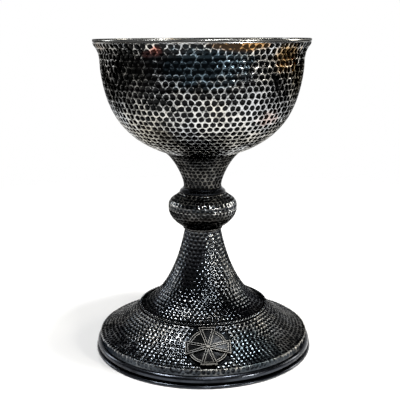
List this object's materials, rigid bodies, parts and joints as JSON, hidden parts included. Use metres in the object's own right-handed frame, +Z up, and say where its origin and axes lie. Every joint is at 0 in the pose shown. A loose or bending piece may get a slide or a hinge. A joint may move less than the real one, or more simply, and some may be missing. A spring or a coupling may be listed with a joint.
{
  "type": "communion chalice",
  "caption": "Tall footed cup: hammered hemispherical bowl on a waisted stem with a knop, flared conical foot with a cross badge, held together by a tie rod and nut.",
  "frame": {"origin": "centre of the foot on the surface that the chalice stands on", "axes": "+Z up along the chalice's axis; -Y towards the side that carries the badge; +X to the right seen from that side"},
  "size_m": [0.144, 0.144, 0.202],
  "materials": {
    "hammered_silver": "hammered silver plate, heavily tarnished, worn bright on the ridges",
    "plain_dark_silver": "smooth silver plate, dark with tarnish in the grooves",
    "polished_rim": "silver plate rubbed bright at the edge",
    "turned_brass": "turned brass, dull",
    "rod_steel": "plain steel, dull"
  },
  "bodies": {
    "root": {"bowl_shell": "hammered_silver", "rim_wire": "polished_rim", "bowl_boss": "turned_brass", "upper_stem": "hammered_silver", "upper_collar": "plain_dark_silver", "knop_upper_shell": "hammered_silver", "knop_lower_shell": "hammered_silver", "knop_spacer_tube": "turned_brass", "lower_collar": "plain_dark_silver", "lower_stem": "hammered_silver", "rope_ring": "plain_dark_silver", "foot_shell": "hammered_silver", "foot_moulding": "plain_dark_silver", "foot_rest_ring": "polished_rim", "badge_disc": "plain_dark_silver", "badge_cross": "plain_dark_silver", "badge_rivet": "polished_rim", "badge_rivet_burr": "polished_rim", "tie_rod": "rod_steel", "clamp_plate": "turned_brass", "plain_washer": "rod_steel", "hex_nut": "turned_brass"}
  },
  "joints": []
}
